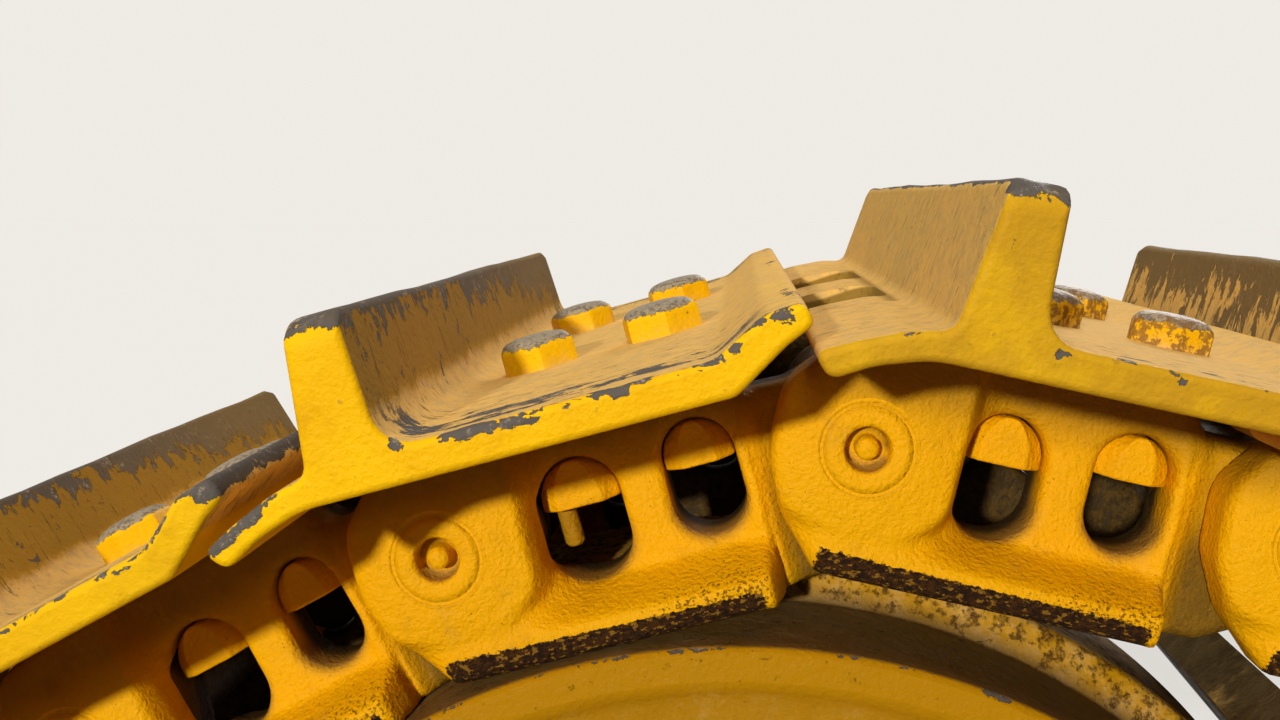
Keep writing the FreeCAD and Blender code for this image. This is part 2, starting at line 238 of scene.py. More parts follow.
def contour(field, low, high, step):
    """A mesh of the surface where field(x, y, z) is nought, inside negative, by surface nets."""
    grid = np.stack(np.meshgrid(*[np.arange(a, b + step, step) for a, b in zip(low, high)],
                                indexing="ij"))
    values = field(*grid)
    cells = tuple(n - 1 for n in values.shape)
    total, count = np.zeros((3, *cells)), np.zeros(cells)
    crossings = []
    for axis in range(3):
        a, b = np.delete(values, -1, axis), np.delete(values, 0, axis)
        cross = (a < 0) != (b < 0)
        points = np.delete(grid, -1, axis + 1)
        points[axis] += np.where(cross, a / np.where(cross, a - b, 1), 0) * step
        points *= cross
        p, q = [k for k in range(3) if k != axis]
        for i, j in ((0, 0), (0, 1), (1, 0), (1, 1)):
            part = [slice(None)] * 3
            part[p], part[q] = slice(i, i + cells[p]), slice(j, j + cells[q])
            total += points[(slice(None), *part)]
            count += cross[tuple(part)]
        crossings.append((axis, p, q, cross, a < 0))
    active = count > 0
    index = np.full(cells, -1)
    index[active] = np.arange(active.sum())
    verts = (total / np.maximum(count, 1))[:, active].T
    faces = []
    for axis, p, q, cross, inside in crossings:
        at = np.argwhere(cross).T
        at = at[:, (at[p] > 0) & (at[q] > 0) & (at[p] < cells[p]) & (at[q] < cells[q])]
        corners = []
        for i, j in ((1, 1), (0, 1), (0, 0), (1, 0)):
            cell = at.copy()
            cell[p] -= i
            cell[q] -= j
            corners.append(index[tuple(cell)])
        quads = np.stack(corners, 1)
        flip = inside[tuple(at)] != (axis == 1)
        quads[~flip] = quads[~flip][:, ::-1]
        faces.append(quads)
    for _ in range(2):
        # each vertex moves along the field's slope, onto the surface
        small = step * 0.1
        slope = np.stack([
            field(*(verts + way).T) - field(*(verts - way).T) for way in small * np.eye(3)
        ], 1) / (2 * small)
        steep = np.maximum((slope ** 2).sum(1, keepdims=True), 0.2)
        verts += np.clip(-field(*verts.T)[:, None] * slope / steep, -step / 2, step / 2)
    return Form(verts, [tuple(face) for face in np.concatenate(faces).tolist()])


def outward(form):
    """The form with its faces turned to look away from its middle."""
    verts = form.verts - form.verts.mean(0)
    fans = [(f[0], f[i - 1], f[i]) for f in form.faces for i in range(2, len(f))]
    a, b, c = verts[np.array(fans).T]
    if np.sum(a * np.cross(b, c)) < 0:
        form.faces = [face[::-1] for face in form.faces]
    return form


# Field helpers
def high_of(a, b, k):
    """The higher of two values, with the crease between them rounded over k."""
    h = np.clip(0.5 + 0.5 * (a - b) / k, 0, 1)
    return b + (a - b) * h + k * h * (1 - h)


def ramp(value, start, end):
    t = np.clip((value - start) / (end - start), 0, 1)
    return t * t * (3 - 2 * t)


def outline(corners, step):
    """A closed line through (u, v, rounding) corners, with arcs at the rounded ones."""
    points = []
    for i, (u, v, r) in enumerate(corners):
        before = np.array(corners[i - 1][:2]) - (u, v)
        after = np.array(corners[(i + 1) % len(corners)][:2]) - (u, v)
        lb, la = np.linalg.norm(before), np.linalg.norm(after)
        before, after = before / lb, after / la
        angle = math.acos(max(-1, min(1, float(before @ after))))
        reach = min(r / math.tan(angle / 2), 0.49 * lb, 0.49 * la)
        if reach < 0.2:
            points.append((u, v))
            continue
        corner = np.array((u, v))
        a, b = corner + before * reach, corner + after * reach
        count = max(2, int(r * (math.pi - angle) / step) + 1)
        for k in range(count + 1):
            t = k / count
            points.append(tuple((1 - t) ** 2 * a + 2 * t * (1 - t) * corner + t ** 2 * b))
    return points


def inside_of(points):
    """Signed distance to a closed line in the u-v plane, as a function of u and v."""
    ring = np.array(points)

    def distance(u, v):
        best = np.full(u.shape, 1e9)
        inside = np.zeros(u.shape, bool)
        for (au, av), (bu, bv) in zip(ring, np.roll(ring, -1, 0)):
            du, dv = bu - au, bv - av
            t = np.clip(((u - au) * du + (v - av) * dv) / (du * du + dv * dv + 1e-9), 0, 1)
            best = np.minimum(best, (u - au - t * du) ** 2 + (v - av - t * dv) ** 2)
            if dv:
                inside ^= ((av > v) != (bv > v)) & (u < au + (v - av) * du / dv)
        best = np.sqrt(best)
        return np.where(inside, -best, best)

    return distance


def slot_hole(u, v, window):
    """Signed distance to an upright obround."""
    centre, width, height = window
    half = (height - width) / 2
    dv = v - centre[1]
    return np.hypot(u - centre[0], dv - np.clip(dv, -half, half)) - width / 2


# Links: windows are (centre, width, height)
windows = (((70, -5.5), 43, 64), ((134.5, 0.5), 38, 60))
link_body = inside_of(outline([
    (-11, -66, 5), (-33, -42, 30), (-45, -14, 30), (-45, 22, 30), (-18, 52, 25), (40, 60, 10),
    (150, 60, 4), (164, 37, 10), (186, 36, 20), (220, 46, 30), (258, 26, 30), (262, -24, 30),
    (228, -44, 25), (186, -66, 12),
], 6))
pad = inside_of(outline([
    (-60, -10, 5), (-36, -37, 14), (-8, -46, 20), (24, -45, 18), (46, -26, 20), (47, 30, 20),
    (44, 90, 5), (-60, 90, 5),
], 6))
boss_face, link_face, foot_face = 135, 102, 132.5
inner_face, neck = 62, 38.6
pin_r, pin_seat = 15, 118
bore_r, bore_floor = 25, 20


def link_field(x, y, v):
    """The outboard link: an offset casting with two windows, a boss pad and a wide rail foot."""
    u = -x
    boss = boss_face - 0.6 * ramp(np.hypot(u, v), 26, 44) * 3
    low = 124 - 22 * ramp(u, 34, 66)
    face = low + (boss - low) * ramp(-pad(u, v), -7, 5)
    foot = ramp(-v, 34, 51) * (1 - ramp(u, 153, 163))
    face = face + (foot_face - face) * foot * ramp(u, -30, -4)
    # a ridge before the next link's boss, then the step down to pass under it
    face = face + 3.5 * np.exp(-((u - 156 + 0.04 * v) / 5) ** 2) * ramp(-v, -50, -20)
    face = face - 5.5 * ramp(u, 160, 172)
    passing = link_face - 2.5 * ramp(u, 162, 171) - 3 * ramp(u, 168, 180)
    face = np.where(u > 160, np.minimum(face, passing), face)
    face = face + 1.2 * np.sin(u * 0.035 + 1) * np.sin(v * 0.05) * ramp(u, 60, 80)
    back = inner_face + neck * (1 - ramp(u, 46, 60))
    body = high_of(link_body(u, v), y - face, 9)
    body = high_of(body, back - y, 3)
    for window in windows:
        body = high_of(body, -slot_hole(u, v, window), 7)
    hole = np.maximum(np.hypot(u, v) - pin_r, pin_seat - y)
    bore = np.maximum(np.hypot(u - pitch, v) - bore_r, bore_floor - y)
    return np.maximum(np.maximum(body, -hole), -bore)


def link_marks(x, y, v):
    """The rail's rubbed foot, rust above it, dust in the windows, and painted shade under the
    shoe, before the next link's boss and on the link's inner side.
    """
    u = -x
    foot = 1 - ramp(v + 0.018 * u, -54.5, -50.5)
    foot = foot * ramp(u, -16, -8) * (1 - ramp(u, 146, 154)) * ramp(y, 104, 120)
    rust = 0.33 * (1 - ramp(v, -52, -40 + 8 * ramp(u, 90, 150))) * ramp(u, 66, 120)
    rust = rust * (1 - ramp(u, 150, 165)) * ramp(y, 96, 104)
    dust = np.zeros(u.shape)
    for window in windows:
        rim = 1 - ramp(np.abs(slot_hole(u, v, window) + 1), 1, 8)
        low = 1 - ramp(v - window[0][1], -22, -2)
        dust = np.maximum(dust, rim * low * (1 - ramp(y, 98, 106)))
    # painted shade: before the next link's boss, stronger low down; across the top, under the
    # shoe; and over the inner side
    behind = ramp(u, 158, 174) * (0.4 + 0.45 * (1 - ramp(v, -26, 4)))
    under = 0.62 * ramp(v, 10, 40)
    grime = np.maximum(np.maximum(behind, under), 1 - ramp(y, 76, 93))
    return dict(foot=foot, rust=rust, dust=dust, grime=grime)


def link_form(step):
    return contour(link_field, (-266, 56, -72), (52, 140, 66), step).marked(link_marks)


# Shoes
shoe_corners = [
    (-38.5, 45, 6.5), (-23, 54, 50), (-3, 60.3, 45), (168, 60.3, 7), (191, 74, 10),
    (203, 79, 4), (201.5, 88.3, 5), (185.5, 87.2, 12), (163.5, 75.8, 14), (33.5, 75.2, 17),
    (31.2, 132, 3.5), (9, 132, 6.5), (1.8, 72.6, 8), (-14, 69.2, 40), (-33, 61, 40),
    (-46.5, 54, 6.5),
]


def swept(points, stations, bevel, shape=None):
    """A closed line in the u-v plane drawn along Y, its ends closed and their edges rounded."""
    ring = np.array(points)
    ahead = np.roll(ring, -1, 0)
    along = ahead - np.roll(ring, 1, 0)
    normal = np.stack([along[:, 1], -along[:, 0]], 1)
    normal /= np.maximum(np.linalg.norm(normal, axis=1, keepdims=True), 1e-9)
    if np.sum(ring[:, 0] * ahead[:, 1] - ahead[:, 0] * ring[:, 1]) < 0:
        normal = -normal
    low, high = stations[0], stations[-1]
    turns = [math.pi / 2 * k / 6 for k in range(7)]
    curve = [(bevel * (1 - math.sin(turn)), bevel * (1 - math.cos(turn))) for turn in turns]
    rows = [(low + y, inset) for y, inset in curve[::-1]]
    rows += [(y, 0) for y in stations if low + 2 * bevel < y < high - 2 * bevel]
    rows += [(high - y, inset) for y, inset in curve]
    verts = []
    for y, inset in rows:
        line = ring - normal * inset
        verts.append(np.column_stack([-line[:, 0], np.full(len(line), y), line[:, 1]]))
    verts = np.concatenate(verts)
    if shape:
        verts = shape(verts)
    return outward(Form(verts, tube(len(rows), len(ring))))


def grouser_ends(verts):
    """Rounds the grouser's tip where it nears the shoe's ends, and wears it wavy."""
    u, y, v = -verts[:, 0], verts[:, 1], verts[:, 2]
    radius, base, reach = 13, 88, 132
    near_end = np.clip(np.abs(y) - (shoe_half - radius), 0, radius)
    fall = radius - np.sqrt(np.maximum(radius ** 2 - near_end ** 2, 0))
    share = np.clip((v - base) / (reach - base), 0, 1) * ((u > 2) & (u < 38))
    v = v - fall * share * 0.8
    wavy = 0.9 * np.sin(y * 0.021) + 0.6 * np.sin(y * 0.057 + 1.3)
    v = v - (0.8 + 0.5 * wavy) * np.clip((v - 125) / 7, 0, 1)
    return np.column_stack([-u, y, v])


def cut_notches(form, fine):
    """The two slots in the front lip, and the shoe's end faces cut into even cells."""
    slots = []
    for low, high in ((22, 104), (-128, -42)):
        ring = outline([(-70, low, 0), (-3, low, 16), (-3, high, 16), (-70, high, 0)], 2)
        verts = [(-u, y, v) for v in (35, 90) for u, y in ring]
        slots.append(Form(verts, tube(2, len(ring))))
    mesh = to_mesh("cutter", joined(slots))
    work = bmesh.new()
    work.from_mesh(mesh)
    bmesh.ops.recalc_face_normals(work, faces=work.faces)
    work.to_mesh(mesh)
    work.free()
    cutter = linked("cutter", mesh)
    out = modified(form, "BOOLEAN", operation="DIFFERENCE", solver="EXACT", object=cutter)
    bpy.data.objects.remove(cutter)
    work = bmesh.new()
    work.from_mesh(to_mesh("notched", out))
    reach = (shoe_half - 0.01) * MM

    def caps():
        return {face for face in work.faces if all(abs(vert.co.y) > reach for vert in face.verts)}

    ends = caps()
    inner_edges = [e for e in work.edges if len(e.link_faces) == 2 and set(e.link_faces) <= ends]
    bmesh.ops.dissolve_edges(work, edges=inner_edges, use_verts=False)
    cuts = [(0, at) for at in range(-200, 50, 10)] + [(2, at) for at in range(50, 132, 10)]
    for axis, at in cuts if fine else ():
        cap = caps()
        around = {item for face in cap for item in (*face.edges, *face.verts)}
        spot, facing = [0] * 3, [0] * 3
        spot[axis], facing[axis] = at * MM, 1
        bmesh.ops.bisect_plane(work, geom=[*cap, *around], dist=1e-7, plane_co=spot,
                               plane_no=facing)
    many = [face for face in work.faces if len(face.verts) > 4]
    bmesh.ops.triangulate(work, faces=many, ngon_method="BEAUTY")
    verts = [tuple(vert.co / MM) for vert in work.verts]
    faces = [tuple(vert.index for vert in face.verts) for face in work.faces]
    work.free()
    return Form(verts, faces)


# Bolts, nuts and pins
bolt_places = [(centre[0], y) for centre, _, _ in windows for y in (97.5, -98.3)]
plate_top, head_height = 75.3, 17
nut_low = (1, 6.5)
nut_front, nut_back, shank_y = 100.2, 66, 86


def lathe(profile, segments, centre=(0, 0), axis="Y"):
    """Revolves (radius, along) points about a line; a radius may depend on the angle."""
    verts, faces = [], []
    m = len(profile)
    for k in range(segments):
        angle = 2 * math.pi * k / segments
        for radius, along in profile:
            r = radius(angle) if callable(radius) else radius
            a, b = centre[0] + r * math.sin(angle), centre[1] + r * math.cos(angle)
            verts.append((a, along, b) if axis == "Y" else (a, b, along))
        here, after = k * m, (k + 1) % segments * m
        faces += [(here + i, here + i + 1, after + i + 1, after + i) for i in range(m - 1)]
    return outward(Form(verts, faces))


def hexagon(flats, corner, turn):
    """Radius of a hexagon with rounded corners, as a function of the angle."""
    def radius(angle):
        a = (angle + turn + math.pi / 6) % (math.pi / 3) - math.pi / 6
        return min(flats / 2 / math.cos(a), corner)
    return radius


def bolt_head(u, y, turn, segments):
    """A tall hexagon head with a worn, domed top."""
    base, height = plate_top, head_height
    six = [hexagon(36.6 - cut, 20.9 - cut / 2, turn) for cut in (0, 1.3, 4.2)]
    profile = [
        (six[0], base - 3), (six[0], base + 0.58 * height), (six[1], base + 0.71 * height),
        (lambda a: min(six[2](a), 17.2), base + 0.83 * height), (14.6, base + 0.91 * height),
        (10.5, base + 0.965 * height), (5.5, base + 0.992 * height), (0.01, base + height),
    ]
    return lathe(profile, segments, (-u, y), axis="Z").marked(lambda x, y, v: dict(
        wear=0.95 * ramp(v, base + 0.6 * height, base + 0.84 * height),
        dust=0.4 * (1 - ramp(v, base, base + 4)),
    ))


def nut(k):
    """A track nut: flat below, arched above and cut back at its front corners."""
    centre, width, height = windows[k]
    half = width / 2 - 0.9
    crown = centre[1] + (height - width) / 2
    ring = outline([
        (-half, nut_back, 0), (-half, nut_front - 8, 3), (9 - half, nut_front, 3),
        (half - 9, nut_front, 3), (half, nut_front - 8, 3), (half, nut_back, 0),
    ], 1)

    def arched(verts):
        x, y, z = verts.T
        rise = np.clip((y - crown) / half, 0, 0.99)
        return np.column_stack([x * np.sqrt(1 - rise ** 2) - centre[0], y, z])

    rows = [crown + half * math.sin(math.radians(turn)) for turn in range(10, 81, 10)]
    form = swept(ring, [nut_low[k], crown, *rows, crown + half * 0.99], 1.5, arched)
    return outward(Form(form.verts[:, [0, 2, 1]], form.faces))


def shank(k, y):
    """The bolt's end, standing out of its nut into the window."""
    # the last number darkens the bolt's end as painted shade inside the window
    u, radius, reach, shade_depth = ((60, 5.2, 21, 0.6), (134, 8, 7, 0.85))[k]
    low = nut_low[k] - reach
    profile = [(0.01, low), (radius - 1.5, low), (radius, low + 2), (radius, nut_low[k] + 4)]
    return lathe(profile[::-1], 24, (-u, y), axis="Z").varied(grime=shade_depth)


def dirt(k):
    """Earth packed into the inboard window behind the bolt's end, nearly black so that it also
    stands as painted shade inside the chain.
    """
    centre, width, height = windows[k]
    half = width / 2 - 0.7
    straight = (height - width) / 2
    ring = []
    for angle in [2 * math.pi * turn / 32 for turn in range(32)]:
        middle = centre[1] + (straight if math.sin(angle) > 0 else -straight)
        ring.append((centre[0] + half * math.cos(angle), middle + half * math.sin(angle)))

    def lumpy(verts):
        swell = 2.5 * np.sin(verts[:, 0] * 0.31) * np.cos(verts[:, 2] * 0.27)
        return verts + swell[:, None] * (0, 1, 0)

    return swept(ring, [-93, -84, -75], 2, lumpy)


pin_profile = [
    (26, 134.2), (24.4, 135.3), (22.9, 135.3), (22.3, 133.8), (21.7, 133.8), (21.1, 135.6),
    (18, 136), (13.2, 135.9), (12, 135.5), (11.2, 134.4), (10.7, 132), (10.4, 123),
    (6.4, 122), (5.9, 123), (5.8, 130), (5.2, 132.2), (3.8, 133.4), (2, 133.9),
    (0.01, 134.1),
]


def pin_marks(x, y, v):
    r = np.hypot(x, v)
    return dict(
        dust=(1 - ramp(v, -6, 0)) * (1 - ramp(r, 10.4, 11.8)) * ramp(r, 6.2, 7.2),
        # painted shade in the upper, deeper part of the hole
        grime=0.7 * ramp(v, -3, 3) * (1 - ramp(y, 127, 133.5)) * ramp(r, 6, 7),
        groove=1 - ramp(np.abs(r - 22), 0.4, 1.1),
    )


def pin_end(segments):
    return lathe(pin_profile[::-1], segments).marked(pin_marks)


# Materials
def infix(kind, swapped=False):
    def operate(self, other):
        return self.shader.math(kind, *((other, self) if swapped else (self, other)))
    return operate


class Wire:
    """A node's output, which adds, subtracts and multiplies as a number does."""

    def __init__(self, shader, socket):
        self.shader, self.socket = shader, socket

    __add__, __radd__ = infix("ADD"), infix("ADD", True)
    __sub__, __rsub__ = infix("SUBTRACT"), infix("SUBTRACT", True)
    __mul__ = infix("MULTIPLY")


class Nodes:
    """The nodes of a material or a world."""

    def __init__(self, owner):
        owner.use_nodes = True
        self.tree = owner.node_tree
        self.tree.nodes.clear()

    def node(self, kind, inputs, **settings):
        node = self.tree.nodes.new("ShaderNode" + kind)
        for key, value in settings.items():
            setattr(node, key, value)
        for key, value in inputs.items():
            if isinstance(value, Wire):
                self.tree.links.new(value.socket, node.inputs[key])
            else:
                node.inputs[key].default_value = value
        return node

    def wire(self, output, kind, inputs, **settings):
        return Wire(self, self.node(kind, inputs, **settings).outputs[output])

    def math(self, kind, a, b=0, clamp=False):
        return self.wire(0, "Math", {0: a, 1: b}, operation=kind, use_clamp=clamp)

    def most(self, first, *others):
        for other in others:
            first = self.math("MAXIMUM", first, other)
        return first

    def shown(self):
        """1 to the camera and in reflections, 0 to the light that falls on the object."""
        ray = self.node("LightPath", {}).outputs
        return self.most(Wire(self, ray["Is Camera Ray"]), Wire(self, ray["Is Glossy Ray"]))


class Shader(Nodes):
    """A material that is built up in coats. Its noise lies in the space that at gives."""

    def __init__(self, name):
        self.material = bpy.data.materials.new(name)
        super().__init__(self.material)

    def mark(self, name, output="Fac"):
        return self.wire(output, "Attribute", {}, attribute_name=name)

    def place(self):
        return self.mark("place", "Vector")

    def shifted(self, vector):
        """Moves the pattern of each copy of a piece, so that no two wear alike."""
        seed, shares = self.mark("seed"), enumerate((1, 0.6, -1.4))
        away = self.wire(0, "CombineXYZ", {k: seed * share for k, share in shares})
        return self.wire(0, "VectorMath", {0: vector, 1: away}, operation="ADD")

    def axes(self, vector):
        return [Wire(self, way) for way in self.node("SeparateXYZ", {0: vector}).outputs]

    def noise(self, scale, detail, rough=0.55, distort=0, vector=None):
        return self.wire("Fac", "TexNoise", {
            "Vector": vector or self.at, "Scale": scale, "Detail": detail, "Roughness": rough,
            "Distortion": distort,
        })

    def streaks(self, scale, turn, detail, rough, distort=0, base=1):
        """Noise with its own scale along each axis, slightly turned."""
        inputs = {"Vector": self.at, "Scale": scale, "Rotation": turn}
        return self.noise(base, detail, rough, distort, self.wire(0, "Mapping", inputs))

    def step(self, value, low, high):
        inputs = {"Value": value, "From Min": low, "From Max": high}
        return self.wire(0, "MapRange", inputs, interpolation_type="SMOOTHSTEP")

    def less(self, value, low, high):
        return 1 - self.step(value, low, high)

    def mix(self, share, a, b):
        return self.wire(2, "Mix", {0: share, 6: a, 7: b}, data_type="RGBA")

    def coat(self, share, colour):
        self.colour = self.mix(share, self.colour, colour)

    def bumps(self, *layers):
        """The normal after (height, distance) layers, each laid over the last."""
        inputs = {}
        for height, distance in layers:
            inputs.update(Height=height, Distance=distance)
            inputs["Normal"] = self.wire(0, "Bump", inputs)
        return inputs["Normal"]

    def surface(self, inputs):
        """The material, its surface's inputs set."""
        self.node("OutputMaterial", {0: self.wire(0, "BsdfPrincipled", inputs)})
        return self.material


YELLOW = (0.9, 0.53, 0.002, 1)
YELLOW_DEEP = (0.82, 0.43, 0.002, 1)
YELLOW_OCHRE = (0.52, 0.245, 0.002, 1)
CAST_YELLOW = (0.84, 0.39, 0.001, 1)
IDLER_OCHRE_AND_SHADE = (0.37, 0.18, 0.002, 1)
GROUSER_OCHRE = (0.225, 0.115, 0.02, 1)
SLOT_SHADE = (0.2, 0.112, 0.012, 1)
DUST_AND_SHADE_FILM = (0.4, 0.205, 0.013, 1)
DUST = (0.72, 0.44, 0.135, 1)
DUST_GREY = (0.56, 0.37, 0.15, 1)
DUST_THIN = (0.64, 0.36, 0.03, 1)
DUST_OLIVE = (0.3, 0.165, 0.035, 1)
SLATE = (0.098, 0.084, 0.074, 1)
SLATE_PALE = (0.4, 0.32, 0.22, 1)
WORN_BROWN = (0.235, 0.15, 0.05, 1)
BOLT_WORN = ((0.29, 0.235, 0.155, 1), (0.125, 0.1, 0.078, 1))
SCRATCH = (0.14, 0.082, 0.038, 1)
PIT = (0.09, 0.055, 0.03, 1)
RUST = (0.06, 0.024, 0.006, 1)
RUST_DARK = (0.02, 0.01, 0.005, 1)
RUST_ORANGE = (0.36, 0.135, 0.022, 1)
RUST_BOLT = (0.17, 0.078, 0.022, 1)
RUST_LINK = (0.15, 0.062, 0.01, 1)
RUST_FLANGE = (0.16, 0.065, 0.018, 1)
FLECK = (0.4, 0.2, 0.02, 1)
GROOVE = (0.08, 0.036, 0.003, 1)
PAINTED_SHADE_DARK = (0.04, 0.024, 0.008, 1)
PAINTED_SHADE_GREY = (0.06, 0.04, 0.022, 1)
EARTH = ((0.26, 0.155, 0.06, 1), (0.1, 0.058, 0.024, 1))
EARTH_DARK = ((0.095, 0.068, 0.032, 1), (0.042, 0.028, 0.013, 1))
BACKDROP = (0.86, 0.83, 0.78, 1)
FLOOR_LIT = (0.12, 0.11, 0.1, 1)
FLOOR_SEEN = (0.741, 0.747, 0.749, 1)


def yellow(s, at, deep=0):
    """Yellow paint that has faded and soaked up dirt unevenly."""
    s.at = at
    s.middle = s.noise(55, 4, 0.6)
    s.colour = s.mix(s.step(s.noise(7, 3), 0.36, 0.68), YELLOW, YELLOW_DEEP)
    if deep:
        s.coat(deep, CAST_YELLOW)
    s.coat(s.step(s.middle, 0.52, 0.72) * 0.28, YELLOW_OCHRE)


def dusted(s, amount):
    """Lays dry dust over the colour; amount is 0 to 1 and the edge is uneven."""
    uneven = s.middle * 0.75 + s.noise(330, 4, 0.65) * 0.45
    s.dust = s.step(amount + (uneven - 0.6), 0.1, 0.8)
    tone = s.mix(s.step(s.noise(140, 5, 0.7), 0.42, 0.66), DUST, DUST_GREY)
    s.coat(s.dust * 0.88, s.mix(s.step(s.dust, 0, 0.6), DUST_THIN, tone))


def bare_steel(s):
    """Slate-coloured steel under the paint, paler where it is rubbed."""
    steel = s.mix(s.step(s.noise(300, 5, 0.75), 0.5, 0.66), SLATE, SLATE_PALE)
    return s.mix(s.step(s.middle, 0.46, 0.62), SLATE, steel)


def finished(s, rough, *layers, sheen=0.07):
    """The painted surface, with (height, distance) layers of bumps; dust makes it duller."""
    return s.surface({
        "Base Color": s.colour, "Roughness": s.math("ADD", rough, s.dust * 0.4, clamp=True),
        "Specular IOR Level": sheen, "Normal": s.bumps(*layers),
    })


def shoe_material(name):
    """Shoe paint: dust on the plate, slate chips at its edges, a worn grouser. In metres."""
    s = Shader(name)
    raw = s.place()
    yellow(s, s.shifted(raw))
    x, y, z = s.axes(raw)
    u = x * -1
    across = s.math("ABSOLUTE", y)
    # where on the shoe: its end faces, the grouser's rear face, the plate behind and in front
    on_end = s.step(across, 0.2768, 0.2785)
    inner = 1 - on_end
    past_grouser = s.step(u, 0.02, 0.027)
    rear = inner * past_grouser * s.less(u, 0.05, 0.066) * s.step(z, 0.078, 0.086)
    height = s.math("DIVIDE", z - 0.08, 0.05, clamp=True)
    far_side = s.step(y * -1, -0.1, 0.24)
    plate = inner * past_grouser * s.less(z, 0.08, 0.1) * s.step(z, 0.068, 0.074)
    front = inner * s.less(u, 0.01, 0.02) * s.step(z + u * -0.42, 0.058, 0.068)
    worn = s.mark("worn")
    # dust, and on the end faces a darker film that is dust and painted shade
    s.coat(rear * 0.85, GROUSER_OCHRE)
    patchy = s.step(s.noise(26, 5, 0.65), 0.24, 0.62)
    s.coat(on_end * s.mark("veil") * (0.55 + patchy * 0.45), DUST_AND_SHADE_FILM)
    dusted(s, s.most(plate, front * 0.82, rear * (s.less(worn, 0.2, 0.5) * 0.66)))
    # fine dark scratches: along the plate, and down the grouser's face
    lines = s.step(s.streaks((88, 330, 60), (0, 0, 0.1), 4, 0.6), 0.6, 0.66)
    ticks = s.step(s.streaks((330, 330, 42), (0.22, 0, 0), 4, 0.6), 0.63, 0.69)
    zone = s.most(plate * s.step(across, 0.1, 0.24), front * 0.6)
    marks = s.most(lines * zone, ticks * (rear * 0.8))
    s.coat(marks * 0.72, SCRATCH)
    # slate on the grouser: a ragged band down its rear face, its tip, and the plate's rear lip
    coarse = s.streaks((24, 24, 16), (0.35, 0, 0), 3, 0.6, 0.3)
    flakes = s.streaks((84, 84, 66), (0.4, 0, 0), 6, 0.7, 0.5)
    level = height - 1 + worn * (0.2 + far_side * 0.75)
    level = level + (coarse - 0.5) * 0.85 + (flakes - 0.5) * 1.9
    ragged = coarse * 0.52 + flakes * 0.52
    tip = s.step(z, 0.1265, 0.1312) * (0.35 + worn * 1.1)
    end_tip = s.step(across, 0.27, 0.274) * s.step(z, 0.117, 0.131) * 0.62
    lip = s.step(u, 0.186, 0.197) * s.step(z, 0.076, 0.084) * s.mark("lip") * 0.62
    worn_away = s.step(ragged + s.most(tip, end_tip, lip) * 0.46, 0.69, 0.705)
    # and on the front face of a scuffed one
    face_high = s.math("DIVIDE", z - 0.084, 0.046, clamp=True)
    drips = s.streaks((78, 78, 34), (0.1, 0, 0), 6, 0.7, 0.4)
    scuffed = s.step(drips + (face_high - 0.5) * 0.2, 0.46, 0.49)
    scuffed = scuffed * s.step(s.mark("scuff"), 0.4, 0.6) * inner * s.less(u, 0.012, 0.016)
    scuffed = scuffed * s.step(z, 0.08, 0.088)
    worn_away = s.most(worn_away, s.step(level, 0.02, 0.07) * rear, scuffed)
    # chips along the end face's upper edge, patches on the plate near it, spots on the grouser
    top_line = 0.0755 + s.step(u, 0.16, 0.188) * 0.0125
    top_line = top_line - s.less(u, -0.046, 0.004) * 0.02
    below = s.math("ABSOLUTE", z - top_line)
    close = s.less(s.most(0.28 - across, below), 0, 0.011)
    close = close * (1 - s.step(u, 0, 0.004) * s.less(u, 0.034, 0.04))
    chip_noise = s.streaks((64, 90, 90), (0, 0, 0), 4, 0.6, 0.4)
    chips = s.step(chip_noise + close * s.mark("chip"), 0.8, 0.815)
    band = s.step(across, 0.205, 0.245) * s.less(across, 0.262, 0.28)
    patch_noise = s.streaks((46, 88, 70), (0, 0, 0.05), 6, 0.7, 0.3)
    patches = s.step(patch_noise + band * s.mark("chip"), 0.83, 0.845)
    patches = patches * plate * s.less(u, 0.176, 0.19)
    spots = rear * s.step(flakes + height * 0.05, 0.65, 0.665) * s.step(worn, 0.25, 0.5)
    bare = s.most(worn_away, s.most(chips, s.most(patches, spots)))
    brown = s.most(rear * (0.12 + far_side * 0.72), scuffed * 0.75)
    s.coat(bare, s.mix(brown, bare_steel(s), WORN_BROWN))
    # painted shade on the far walls of the front lip's slots
    slot_wall_shade = s.less(u, -0.004, 0) * s.less(across, 0.13, 0.136)
    slot_wall_shade = slot_wall_shade * s.step(below, 0.0014, 0.0034)
    s.coat(slot_wall_shade * 0.85, SLOT_SHADE)
    # small pits in the end faces
    pits = s.step(s.noise(210, 3, 0.5), 0.7, 0.73)
    s.coat(pits * (0.25 + s.step(z, 0.085, 0.125) * 0.5), PIT)
    return finished(
        s, 0.42 + rear * 0.42, (s.noise(420, 3), 0.0005), (s.noise(110, 4, 0.6), 0.0007),
        (1 - s.most(bare, marks), 0.0007), sheen=0.03)


def bolt_material(name):
    """Shoe bolts: paint on the flats, worn to steel on top, rust on some."""
    s = Shader(name)
    yellow(s, s.shifted(s.place()))
    s.coat(0.35, YELLOW_OCHRE)
    dusted(s, s.mark("dust") + (s.mark("rust") * 0.2 + 0.02))
    top = s.step(s.noise(150, 5, 0.65, 0.4) + s.mark("wear") * 0.55, 0.72, 0.75)
    s.coat(top, s.mix(s.step(s.noise(420, 4, 0.7), 0.45, 0.62), *BOLT_WORN))
    rust = s.step(s.noise(190, 5, 0.7) + s.mark("rust") * 0.3, 0.72, 0.8)
    s.coat(rust * 0.8, RUST_BOLT)
    return finished(s, 0.45, (s.noise(380, 3, 0.6), 0.0006), (1 - top, 0.0006))


